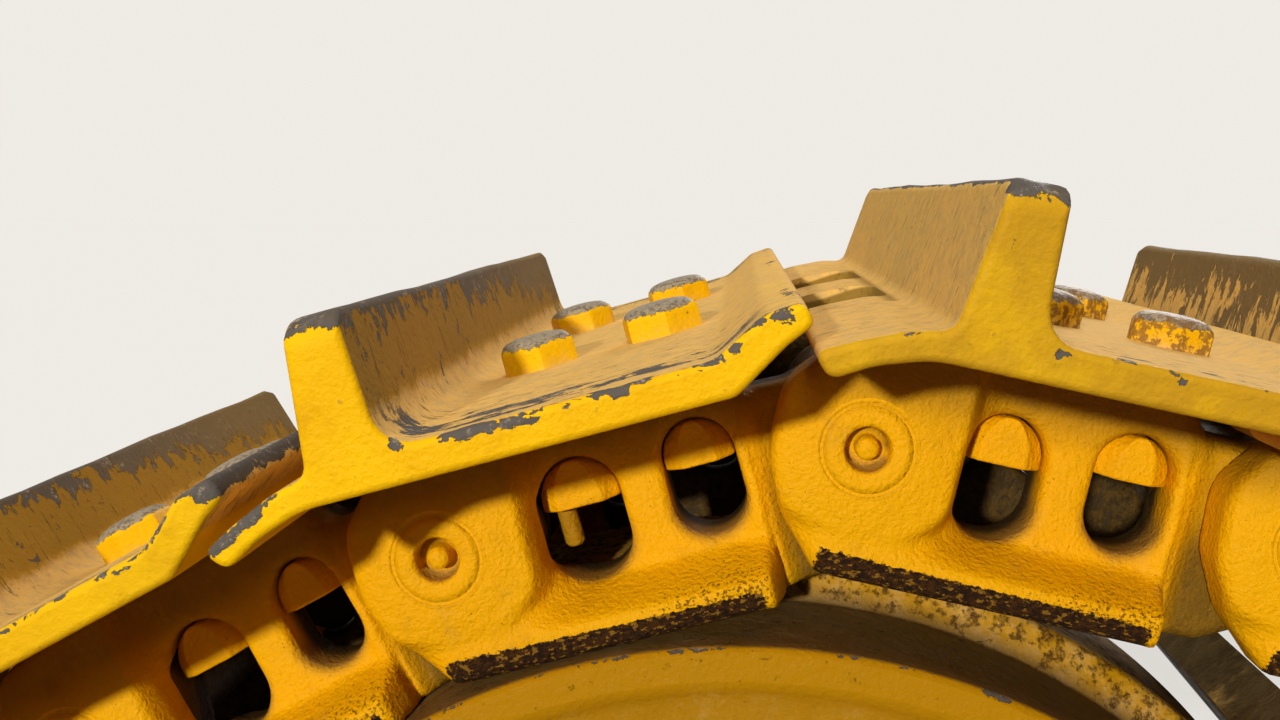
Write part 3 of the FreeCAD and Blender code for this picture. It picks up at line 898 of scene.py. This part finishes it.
def cast_material(name):
    """Painted forging: fine cast grain, painted shade under the shoe and in the corners, rust on
    the rubbed foot.
    """
    s = Shader(name)
    yellow(s, s.shifted(s.place()), 0.75)
    dusted(s, s.step(s.noise(15, 4, 0.6), 0.42, 0.66) * 0.2)
    s.coat(s.mark("dust") * 0.85, DUST_OLIVE)
    mottle = s.step(s.noise(120, 4, 0.7), 0.4, 0.6)
    # painted shade, darkest under the shoe, in the corners, in the pin holes and on the bolt ends
    s.coat(s.mark("grime") * (0.95 + mottle * 0.05), PAINTED_SHADE_DARK)
    rust = s.step(s.mark("rust") * 0.42 + (s.noise(520, 4, 0.7) - 0.5), 0.17, 0.24)
    s.coat(rust * 0.8, RUST_LINK)
    # the rubbed foot: dark scale with a few bright flecks
    rubbed = s.streaks((0.7, 1, 1), (0, 0, 0), 5, 0.75, base=380)
    foot = s.step(s.mark("foot") * 0.58 + (rubbed - 0.5), 0.25, 0.31)
    scale = s.mix(s.step(rubbed, 0.42, 0.56), RUST, RUST_DARK)
    flecks = s.step(s.streaks((0.6, 1, 1), (0, 0, 0), 3, 0.6, base=470), 0.565, 0.61)
    s.coat(foot, s.mix(flecks * 0.6, scale, FLECK))
    s.coat(s.mark("groove") * 0.8, GROOVE)
    return finished(
        s, 0.4 + foot * 0.4, (s.noise(430, 3), 0.0013), (s.noise(170, 4, 0.6), 0.001),
        (1 - s.most(rust, foot), 0.0005), (rubbed * foot, 0.0016))


def frame_material(name, greyed=0):
    """Paint of the frame's own pieces: dust settled on what faces up, dirt low down, chips."""
    s = Shader(name)
    yellow(s, s.wire("Object", "TexCoord", {}), 0.5)
    facing = s.axes(s.wire("Normal", "NewGeometry", {}))[2]
    film = s.step(s.noise(9, 4, 0.6), 0.4, 0.66) * 0.35
    dusted(s, s.step(facing, 0.25, 0.9) * 0.75 + film + 0.15)
    if greyed:
        earth = s.mix(s.step(s.noise(60, 5, 0.7), 0.4, 0.62), *EARTH_DARK)
        s.coat(s.step(s.noise(24, 4, 0.6), 0.2, 0.42) * greyed, earth)
    low = s.less(s.axes(s.at)[2], -0.36, -0.05) * 0.5
    stain = s.step(s.noise(12, 5, 0.68) + low * 0.4, 0.54, 0.8)
    s.coat(stain * 0.8, s.mix(s.step(s.noise(75, 5, 0.7), 0.42, 0.6), *EARTH))
    chips = s.step(s.noise(42, 6, 0.66, 0.3), 0.67, 0.69)
    s.coat(chips, bare_steel(s))
    return finished(
        s, 0.45, (s.noise(380, 3), 0.0005), (s.noise(60, 4, 0.6), 0.001), (1 - chips, 0.0005))


def steel_material(name, base, dark, rusty, rough, local=False):
    """Bare, mottled metal or earth; local ties the pattern to the piece's own place."""
    s = Shader(name)
    s.at = s.place() if local else s.wire("Object", "TexCoord", {})
    fine = s.noise(180, 5, 0.7)
    s.colour = s.mix(s.step(fine, 0.38, 0.62), dark, base)
    s.coat(s.step(s.noise(14, 4, 0.6), 0.45, 0.62) * rusty, RUST_ORANGE)
    return s.surface({
        "Base Color": s.colour, "Roughness": rough, "Normal": s.bumps((fine, 0.0012)),
    })


def idler_material(name):
    """Idler paint: dust and wear at the tread's edge, painted shade on the dished side and on the
    tread under the rails, rust on the flange.
    """
    s = Shader(name)
    yellow(s, s.place(), 0.85)
    # an older, deeper ochre, darkened also as painted shade
    s.coat(0.85, IDLER_OCHRE_AND_SHADE)
    dusted(s, s.mark("dust") + s.step(s.noise(11, 4, 0.6), 0.36, 0.7) * 0.12)
    # painted shade on the dished side and on the tread under the rails
    s.coat(s.mark("grime") * 0.9, PAINTED_SHADE_GREY)
    rust = s.step(s.noise(130, 6, 0.76) + s.mark("rust") * 0.24, 0.62, 0.76)
    s.coat(rust * 0.9, s.mix(s.step(s.noise(260, 4, 0.7), 0.42, 0.62), RUST_FLANGE, RUST))
    bare = s.step(s.noise(60, 6, 0.68, 0.3) + s.mark("wear") * 0.4, 0.7, 0.72)
    s.coat(bare, bare_steel(s))
    return finished(
        s, 0.42, (s.noise(380, 3), 0.0005), (s.noise(90, 4, 0.6), 0.0009),
        (1 - s.most(bare, rust), 0.0005))


shoe_paint = shoe_material("shoe_paint")
bolt_paint = bolt_material("bolt_paint")
cast_paint = cast_material("cast_paint")
idler_paint = idler_material("idler_paint")
frame_paint = frame_material("frame_paint")
dirty_frame = frame_material("dirty_frame_paint", greyed=0.92)
worn_steel = steel_material(
    "worn_steel", (0.2, 0.165, 0.12, 1), (0.07, 0.052, 0.034, 1), 0.35, 0.45)
dark_steel = steel_material(
    "dark_steel", (0.07, 0.055, 0.04, 1), (0.025, 0.018, 0.012, 1), 0.3, 0.6)
# nearly black earth for the windows, partly painted shade inside the chain
shade_fill_dirt = steel_material(
    "shade_fill_dirt", (0.014, 0.008, 0.003, 1), (0.007, 0.004, 0.002, 1), 0.02, 0.95, local=True)

# The chain. Near pieces are fine, and the rest has fewer faces.
fine_stations = [-280, -274, -266, -255, -240, -215, -180, -140, -100, -60, -20, 20, 60, 100, 140,
                 170, 195, 212, 225, 236, 245, 252, 258, 263, 267, 270, 273, 280]
coarse_stations = [-280, -266, -140, 0, 140, 266, 280]
near_shoe, far_shoe = [
    cut_notches(swept(outline(shoe_corners, step), stations, 3, grouser_ends), fine)
    for step, stations, fine in ((2, fine_stations, True), (7, coarse_stations, False))
]
near_link = link_form(2.6)
far_link = modified(link_form(5.5), "DECIMATE", ratio=0.3).marked(link_marks)

# How worn each near shoe's grouser is, how chipped its edges, how far its ends are darkened by
# dust and painted shade, whether its front face is scuffed and how worn its rear lip is; and the
# ranges for the other shoes
wear_names = ("worn", "chip", "veil", "scuff", "lip")
wear_of = {
    36: (0.55, 0.28, 0.35, 0.1, 0.6), 37: (0.7, 0.31, 0.35, 0.1, 1),
    0: (0.6, 0.33, 0.12, 0.1, 0.35), 1: (0.24, 0.24, 0.85, 0.25, 0.3),
    2: (0.85, 0.28, 0.9, 1, 0.5),
}
wear_ranges = ((0.3, 0.8), (0.2, 0.32), (0.15, 0.8), (0, 1), (0, 1))
seed_step = 0.37


def own_marks(form, index):
    own = wear_of.get(index) or [rng.uniform(*ends) for ends in wear_ranges]
    form = form.varied(seed=seed_step * index, **dict(zip(wear_names, own)))
    return form.moved(link_matrix(index))


def on_all(make, chosen):
    """The forms, or what make(k) gives in their place, set on each of the chosen links."""
    return [
        form.varied(seed=seed_step * k + 0.11).moved(link_matrix(k))
        for k in chosen for form in (make(k) if callable(make) else make)
    ]


for index in near:
    shoe = piece(f"shoe_{index}", [own_marks(near_shoe, index)], shoe_paint, sharp=40)
    side = piece(f"link_{index}", on_all([near_link], [index]), cast_paint)
    if index == near[0]:
        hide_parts("track_shoes")
        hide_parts("outboard_links")

piece("far_shoes", [own_marks(far_shoe, k) for k in far], shoe_paint, sharp=40)
piece("far_outboard_links", on_all([far_link], far), cast_paint)
mirrored = far_link.flipped()
inboard = piece("inboard_links_dressed", on_all([mirrored], every_link), cast_paint)
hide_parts("inboard_links")


def bolts_of(index):
    rusty = 0.9 if index in (1, 2) else rng.choice((0, 0, 0.3, 0.8))
    segments = 60 if index in near else 24
    heads = [bolt_head(u, y, rng.uniform(0, 1), segments) for u, y in bolt_places]
    return [head.varied(rust=rusty) for head in heads]


def nuts_of(index):
    made = []
    for k in (0, 1):
        form = nut(k)
        made += [form, form.flipped()]
        if index == 0 and k == 0 or index in far and rng.random() < 0.4:
            made += [shank(k, shank_y), shank(k, -shank_y)]
    return made


piece("shoe_bolts", on_all(bolts_of, every_link), bolt_paint, sharp=35)
piece("track_nuts", on_all(nuts_of, every_link), cast_paint, sharp=40)
piece("window_shade_fill", on_all([dirt(0), dirt(1)], every_link), shade_fill_dirt)
pin_ends = on_all([pin_end(72)], near) + on_all([pin_end(32)], far)
pin_ends += on_all([pin_end(32).flipped()], every_link)
piece("pin_ends", pin_ends, cast_paint)

bushing_profile = [(33.9, 62), (33.9, 40), (33.4, 36), (33.4, -36), (33.9, -40), (33.9, -62)]
sleeve = piece("bushings_dressed", on_all([lathe(bushing_profile, 36)], every_link),
               worn_steel)
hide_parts("track_bushings")

# The idler
idler_profile = [
    (52.2, -150), (92, -150), (96, -146), (97, -116), (110, -112), (150, -113), (235, -120),
    (262, -124), (290, -129), (305, -132), (312, -133), (317, -136), (320, -139), (324, -140),
    (337.5, -140), (340, -138.6), (341, -136), (341, -125), (341, -60), (342.5, -58), (352, -54),
    (359.5, -51.5), (362, -48), (362, -40),
]
idler_profile = idler_profile + [(r, -y) for r, y in idler_profile[::-1]]


def idler_marks(x, y, z):
    r = np.hypot(x, z)
    side, tread = 1 - ramp(r, 312, 322), ramp(r, 340, 340.9)
    # the painted shade below is light on the dished side and dark on the tread under the rails
    packed = ramp(r, 340.3, 340.9) * (1 - ramp(r, 342.4, 343.5)) * (1 - ramp(np.abs(y), 136, 138))
    return dict(
        dust=0.16 * (1 - ramp(r, 314, 322)) + 0.35 * tread,
        grime=0.14 * side + 0.85 * packed,
        rust=0.34 * ramp(r, 342, 344) + 0.25 * tread,
        wear=0.42 * (1 - ramp(np.abs(r - 340.5), 0.5, 3)) * ramp(np.abs(y), 134, 138),
    )


wheel = lathe(idler_profile, 240).marked(idler_marks)
wheel = wheel.moved(Matrix.Translation((idler[0], 0, idler[1])))
rolling = piece("idler_dressed", [wheel], idler_paint, body="idler", sharp=50)
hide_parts("idler_wheel")


# The drive, and fittings on the frame
def fitting(a, b, base, flats, height, axis="Y"):
    """A bolt head on its washer."""
    turn = rng.uniform(0, 1)
    six = [hexagon(size, 0.565 * size, turn) for size in (flats, flats - 0.18 * flats)]
    washer = 0.68 * flats
    profile = [
        (washer, base - 2), (washer, base + 2), (six[0], base + 2), (six[0], base + 0.8 * height),
        (six[1], base + height), (0.01, base + height),
    ]
    return lathe(profile, 24, (a, b), axis)


def in_ring(count, radius, centre, base, flats, height):
    spots = [polar(centre, radius, 360 * (k + 0.5) / count) for k in range(count)]
    return [fitting(x, z, base, flats, height) for x, z in spots]


def on_side(side, forms):
    """The forms on the outboard side, 1, or mirrored on the inboard one, -1."""
    return forms if side > 0 else [form.flipped() for form in forms]


def bead(start, end, radius):
    """A weld bead: a rippled ridge along a straight line."""
    start, end = np.array(start, float), np.array(end, float)
    length = np.linalg.norm(end - start)
    along = (end - start) / length
    side = np.cross(along, (0.3, 0.5, 0.81))
    side /= np.linalg.norm(side)
    other = np.cross(along, side)
    count, around = max(2, int(length / 3)), 8
    verts = []
    for k in range(count + 1):
        share = k / count
        swell = radius * (0.9 + 0.16 * math.sin(k * 2.1) + 0.05 * math.sin(k * 0.37))
        swell *= min(1, 0.3 + 6 * min(share, 1 - share))
        for j in range(around):
            angle = math.pi * j / 4
            out = side * math.cos(angle) + other * math.sin(angle)
            verts.append(start + along * length * share + swell * out)
    return outward(Form(verts, tube(count + 1, around, closed=False)))


def box_of(name):
    low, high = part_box(name)
    return [v / MM for v in low], [v / MM for v in high]


drum_low, drum_high = box_of("final_drive")
drum_back, face_y = drum_low[1], drum_high[1]
cover_out = box_of("hub_cover")[1][1]
drum_profile = [(r, drum_back + y) for r, y in (
    (0.01, 1), (58, 1), (62, 4), (62, 12), (150, 13), (154, 9), (198, 9), (210, 2), (216, 3),
    (258, 44), (262, 52),
)] + [
    (262, -112), (256, -108), (256, -96), (262, -92), (262, -60), (268, -58), (330, -58),
    (335, -56), (336, -52), (336, -40), (300, -39), (300, face_y), (214, face_y), (0.01, face_y),
]
drum = lathe(drum_profile, 120, sprocket)
dressed_drum = piece("final_drive_dressed", [drum], frame_paint, sharp=30)
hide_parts("final_drive")
cover_profile = [(r, face_y + y) for r, y in (
    (0.01, 0), (212, 0), (212, 14), (209, 18), (190, 20), (184, 26),
)] + [(r, cover_out - y) for r, y in (
    (163, 10), (156, 3), (150, 1), (132, 1), (128, 9), (72, 9), (68, 3), (42, 3), (38, 7),
    (0.01, 7),
)]
cover = piece("hub_cover_dressed", [lathe(cover_profile, 120, sprocket)], frame_paint, sharp=30)
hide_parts("hub_cover")

rim_face = box_of("sprocket_rim")[1][1]
bolts = []
for side, count, radius, base, flats, height in (
    (1, 23, 322, rim_face, 26, 13), (1, 16, 262, face_y, 22, 12),
    (1, 12, 200, face_y + 19, 14, 7), (1, 8, 100, cover_out - 9, 17, 8),
    (-1, 23, 305, 58, 24, 13), (-1, 16, 178, -drum_back - 9, 18, 8),
):
    bolts += on_side(side, in_ring(count, radius, sprocket, base, flats, height))
cap_face, bearing_face = box_of("bearing_caps")[1][1], 210
guard_face = box_of("outboard_roller_guard")[1][1]
ribs_low, ribs_high = box_of("guard_ribs")
for side in (1, -1):
    made = in_ring(6, 58, idler, cap_face, 20, 10)
    made += [
        fitting(idler[0] + a, idler[1] + b, bearing_face, 24, 12)
        for a in (-84, 84) for b in (-50, 50)
    ]
    for k in range(6):
        rib_x = ribs_low[0] + 8 + (ribs_high[0] - ribs_low[0] - 16) * k / 5
        made += [fitting(rib_x, ribs_low[2] + rise, guard_face, 24, 12) for rise in (16, 44)]
    bolts += on_side(side, made)

seat_low, seat_high = box_of("adjuster_cover")
seat_middle = 0.5 * (seat_low[2] + seat_high[2])
for k in range(4):
    place_x = seat_low[0] + 14 + (seat_high[0] - seat_low[0] - 28) * k / 3
    bolts += [fitting(place_x, y, seat_middle, 16, 9, "Z") for y in (-88, 88)]
rollers = np.array([vert.co for vert in nodes["carrier_rollers"].data.vertices]) / MM
middle_x = 0.5 * (rollers[:, 0].min() + rollers[:, 0].max())
caps = []
for one in (rollers[rollers[:, 0] < middle_x], rollers[rollers[:, 0] > middle_x]):
    low, high = one.min(0), one.max(0)
    spot = (0.5 * (low[0] + high[0]), 0.5 * (low[2] + high[2]))
    cap_profile = [(r, high[1] + y) for r, y in (
        (0.01, 0), (56, 0), (56, 4), (52, 8), (22, 8), (19, 5), (0.01, 5),
    )]
    caps.append(lathe(cap_profile, 48, spot))
    bolts += in_ring(6, 38, spot, high[1] + 8, 13, 7)
piece("carrier_caps", caps, frame_paint, sharp=30)
piece("bolt_heads", bolts, frame_paint, sharp=35)

beam_low, beam_high = box_of("track_frame")
ear_low, ear_high = box_of("equaliser_seat")
# along X at the sides y and -y, from and to x, at z, with a radius
seams = [
    (beam_high[1] - 30, beam_low[0] + 30, beam_high[0] - 10, beam_high[2] - 24, 3),
    (62, ear_low[0], ear_high[0], ear_low[2] + 1, 6),
    (100, seat_low[0], seat_high[0], seat_low[2] + 1, 4),
]
welds = [
    bead((start, side * y, z), (end, side * y, z), radius)
    for y, start, end, z, radius in seams for side in (-1, 1)
]
piece("weld_beads", welds, frame_paint)

# The other CAD nodes
finish = {"worn_steel": worn_steel, "dark_steel": dark_steel, "bronze": worn_steel}
slots = {part["node"]: part["material_slot"] for part in frame["record"].get("subparts", [])}
earthy = ("yoke_head", "outboard_yoke_arm", "inboard_yoke_arm", "recoil_rod", "guard_ribs")
for name, obj in nodes.items():
    chosen = dirty_frame if name in earthy else finish.get(slots.get(name), frame_paint)
    obj.data.materials.clear()
    obj.data.materials.append(chosen)
    obj.modifiers.new("weld", "WELD").merge_threshold = 0.00002
    bevel = obj.modifiers.new("bevel", "BEVEL")
    bevel.width = 0.0025
    bevel.segments = 2
    bevel.limit_method = "ANGLE"
    bevel.angle_limit = math.radians(35)

# Floor, light and camera. The pale background is the floor's and the sky's own colour.
floor_z = cad_box[0][2]
bpy.ops.mesh.primitive_plane_add(size=120, location=(0, 0, floor_z))
floor = bpy.context.object
floor.name = "floor"
pale = Shader("floor_pale")
shown = pale.shown()
floor.data.materials.append(pale.surface({
    "Roughness": 1, "Specular IOR Level": 0, "Emission Color": BACKDROP,
    "Base Color": pale.mix(shown, FLOOR_LIT, FLOOR_SEEN), "Emission Strength": shown * 0.135,
}))

world = bpy.data.worlds.new("studio")
bpy.context.scene.world = world
sky = Nodes(world)
fill = sky.wire(0, "Background", {"Color": (1, 0.95, 0.88, 1), "Strength": 0.055})
seen = sky.wire(0, "Background", {"Color": BACKDROP})
both = sky.wire(0, "MixShader", {0: sky.shown(), 1: fill, 2: seen})
sky.node("OutputWorld", {0: both})

for name, travel, strength, colour, spread in (
    ("key", (-0.26, -0.95, -0.2), 3.1, (1, 0.95, 0.86), 2.5),
    ("overhead", (-0.1, -0.42, -1), 1.75, (1, 0.96, 0.9), 24),
    ("behind", (0.35, 0.9, -0.45), 1.8, (1, 0.96, 0.92), 30),
):
    sun = bpy.data.lights.new(name, "SUN")
    sun.energy = strength
    sun.color = colour
    sun.angle = math.radians(spread)
    linked(name, sun).rotation_euler = Vector(travel).to_track_quat("-Z", "Y").to_euler()

# The photograph's view
photo_focal, photo_width = 1371.05, 1280
camera = bpy.data.cameras.new("camera")
camera.sensor_width = 36
camera.lens = photo_focal / photo_width * camera.sensor_width
camera.clip_start = 0.02
camera.clip_end = 400
eye = linked("camera", camera)
eye_place = (2.0583, 0.7808, 0.55625)
forward = Vector((0.0716, -0.9904, -0.118)).normalized()
right = forward.cross(Vector((0, 0, 1))).normalized()
turned = Matrix((right, right.cross(forward), -forward)).transposed().to_4x4()
eye.matrix_world = Matrix.Translation(eye_place) @ turned
bpy.context.scene.camera = eye
bpy.context.scene.view_settings.view_transform = "Standard"
